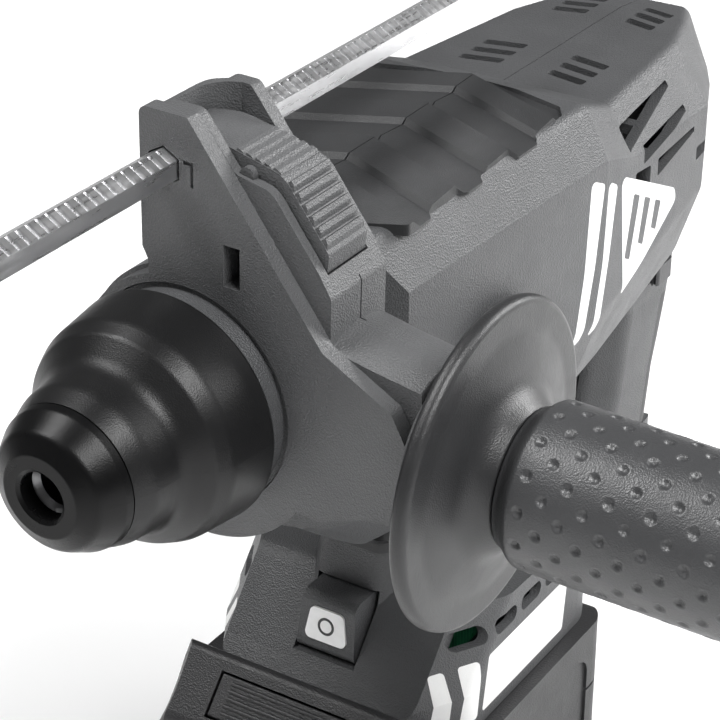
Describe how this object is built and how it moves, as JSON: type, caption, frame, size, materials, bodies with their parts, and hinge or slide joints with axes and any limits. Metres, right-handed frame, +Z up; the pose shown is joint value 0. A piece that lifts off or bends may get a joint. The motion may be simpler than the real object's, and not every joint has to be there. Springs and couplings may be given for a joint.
{
  "type": "rotary hammer",
  "caption": "Cordless rotary hammer with a closed rear handle, conical tool holder sleeve, clamp-on side handle with depth rod, and a slide-on battery",
  "frame": {"origin": "centre of the battery's flat underside, on which the tool stands", "axes": "+Z up; -Y forward, the way the tool bit points; +X to the side that the side handle points to"},
  "size_m": [0.2302, 0.339, 0.2382],
  "materials": {
    "housing_plastic": "dark grey glass-filled nylon with a fine spark texture",
    "pad_rubber": "soft moulded rubber, matt",
    "white_trim": "white moulded plastic, satin gloss",
    "screw_steel": "black oxide steel",
    "plate_aluminium": "die-cast aluminium",
    "bearing_steel": "ground bearing steel",
    "bronze": "sintered bronze",
    "lamination_steel": "stacked electrical steel",
    "copper_winding": "enamelled copper wire",
    "black_plastic": "black moulded plastic",
    "board_green": "circuit board with solder mask",
    "lens": "frosted clear lens",
    "tool_steel": "hardened steel, oiled",
    "spring_steel": "wound spring steel",
    "piston_aluminium": "turned aluminium",
    "seal_rubber": "black sealing rubber",
    "cap_plastic": "hard black rubber, satin",
    "sleeve_plastic": "black moulded plastic, satin",
    "selector_plastic": "black moulded plastic",
    "clamp_plastic": "dark grey glass-filled nylon",
    "rod_steel": "bright zinc-plated steel",
    "flange_plastic": "dark grey moulded plastic, satin",
    "grip_rubber": "soft dimpled rubber",
    "battery_plastic": "black impact-resistant plastic",
    "cell_wrap": "shrink-wrapped cells"
  },
  "bodies": {
    "housing": {"housing_left": "housing_plastic", "housing_right": "housing_plastic", "top_pads": "pad_rubber", "grip_pad": "pad_rubber", "side_inlays": "white_trim", "base_inlays": "white_trim", "grip_inlays": "white_trim", "gear_case": "housing_plastic", "gear_case_screws": "screw_steel", "middle_plate": "plate_aluminium", "rear_plate": "plate_aluminium", "spindle_bearing": "bearing_steel", "oil_seal": "pad_rubber", "spindle_bush": "bronze", "shaft_bearings": "bearing_steel", "motor_bearings": "bearing_steel", "stator_core": "lamination_steel", "stator_coils": "copper_winding", "column_boot": "pad_rubber", "switch_module": "black_plastic", "control_board": "board_green", "contact_block": "black_plastic", "lamp_housing": "housing_plastic", "lamp_lens": "lens"},
    "spindle": {"tool_holder": "tool_steel", "locking_balls": "bearing_steel", "spindle_gear": "tool_steel", "clutch_spring": "spring_steel", "dust_cap": "cap_plastic", "sleeve_spring": "spring_steel"},
    "sleeve": {"locking_sleeve": "sleeve_plastic", "ball_ring": "tool_steel"},
    "layshaft": {"intermediate_shaft": "tool_steel", "intermediate_gear": "tool_steel"},
    "motor_rotor": {"motor_shaft": "tool_steel", "rotor": "lamination_steel", "fan": "black_plastic"},
    "wobble": {"wobble_ring": "tool_steel"},
    "piston_unit": {"piston": "piston_aluminium", "piston_ring": "seal_rubber"},
    "striker_unit": {"striker": "tool_steel", "striker_ring": "seal_rubber"},
    "bolt": {"impact_bolt": "tool_steel"},
    "selector": {"mode_selector": "selector_plastic"},
    "shifter": {"shift_plate": "black_plastic"},
    "trigger_unit": {"trigger": "black_plastic"},
    "direction": {"direction_switch": "black_plastic"},
    "clamp": {"clamp_body": "clamp_plastic", "clamp_cover": "clamp_plastic", "clamp_bolt": "screw_steel"},
    "lever": {"depth_lever": "clamp_plastic"},
    "gauge_rod": {"depth_rod": "rod_steel"},
    "cone": {"pressure_cone": "clamp_plastic"},
    "handle": {"handle_core": "flange_plastic", "side_grip": "grip_rubber"},
    "battery": {"battery_case": "battery_plastic", "battery_lid": "battery_plastic", "battery_cells": "cell_wrap", "battery_contacts": "bronze"},
    "latch": {"battery_latch": "battery_plastic"}
  },
  "joints": [
    {"name": "spindle_spin", "type": "hinge", "parent": "housing", "child": "spindle", "pos_m": [0, -0.072, 0.172], "axis": [0, 1, 0], "continuous": true},
    {"name": "layshaft_spin", "type": "hinge", "parent": "housing", "child": "layshaft", "pos_m": [0, 0.008, 0.141], "axis": [0, 1, 0], "continuous": true},
    {"name": "rotor_spin", "type": "hinge", "parent": "housing", "child": "motor_rotor", "pos_m": [0, 0.088, 0.169], "axis": [0, 1, 0], "continuous": true},
    {"name": "sleeve_pull", "type": "slide", "parent": "spindle", "child": "sleeve", "axis": [0, 1, 0], "range_m": [0, 0.0055], "stiffness_N_per_m": 600, "springref_m": -0.003},
    {"name": "wobble_rock", "type": "hinge", "parent": "housing", "child": "wobble", "pos_m": [0, 0.026, 0.141], "axis": [1, 0, 0], "range_deg": [-12, 12]},
    {"name": "piston_stroke", "type": "slide", "parent": "housing", "child": "piston_unit", "axis": [0, 1, 0], "range_m": [-0.0064, 0.0064]},
    {"name": "striker_stroke", "type": "slide", "parent": "spindle", "child": "striker_unit", "axis": [0, 1, 0], "range_m": [-0.002, 0.005]},
    {"name": "bolt_stroke", "type": "slide", "parent": "spindle", "child": "bolt", "axis": [0, 1, 0], "range_m": [-0.006, 0.002]},
    {"name": "selector_turn", "type": "hinge", "parent": "housing", "child": "selector", "pos_m": [0.044, -0.01, 0.159], "axis": [1, 0, 0], "range_deg": [-50, 50]},
    {"name": "shift_slide", "type": "slide", "parent": "housing", "child": "shifter", "axis": [0, 1, 0], "range_m": [-0.0034, 0.0034]},
    {"name": "trigger_pull", "type": "slide", "parent": "housing", "child": "trigger_unit", "axis": [0, 1, 0], "range_m": [0, 0.006], "stiffness_N_per_m": 500, "springref_m": -0.002},
    {"name": "direction_shift", "type": "slide", "parent": "housing", "child": "direction", "axis": [1, 0, 0], "range_m": [-0.004, 0.004]},
    {"name": "handle_swing", "type": "hinge", "parent": "housing", "child": "clamp", "pos_m": [0, -0.0693, 0.172], "axis": [0, 1, 0], "range_deg": [-105, 60]},
    {"name": "lever_press", "type": "hinge", "parent": "clamp", "child": "lever", "pos_m": [0.01391, -0.0677, 0.22565], "axis": [0, 1, 0], "range_deg": [0, 8], "stiffness_Nm_per_rad": 0.4, "springref_deg": -5.73},
    {"name": "rod_slide", "type": "slide", "parent": "clamp", "child": "gauge_rod", "axis": [0, 1, 0], "range_m": [-0.06, 0.055]},
    {"name": "cone_travel", "type": "slide", "parent": "clamp", "child": "cone", "axis": [0.9997, 0, -0.0262], "range_m": [0, 0.0025]},
    {"name": "grip_turn", "type": "hinge", "parent": "cone", "child": "handle", "pos_m": [0, -0.0693, 0.172], "axis": [0.9997, 0, -0.0262], "range_deg": [0, 720]},
    {"name": "battery_slide", "type": "slide", "parent": "housing", "child": "battery", "axis": [0, -1, 0], "range_m": [0, 0.1]},
    {"name": "latch_press", "type": "slide", "parent": "battery", "child": "latch", "axis": [0, 0.7312, -0.6822], "range_m": [0, 0.0022], "stiffness_N_per_m": 400, "springref_m": -0.002}
  ],
  "couplings": [
    {"joint": "layshaft_spin", "follows": "spindle_spin", "ratio": -3.7692},
    {"joint": "rotor_spin", "follows": "spindle_spin", "ratio": 19.684},
    {"joint": "wobble_rock", "follows": "piston_stroke", "rad_per_m": -32.47},
    {"joint": "selector_turn", "follows": "shift_slide", "rad_per_m": -253},
    {"joint": "grip_turn", "follows": "cone_travel", "rad_per_m": 5026.5}
  ]
}
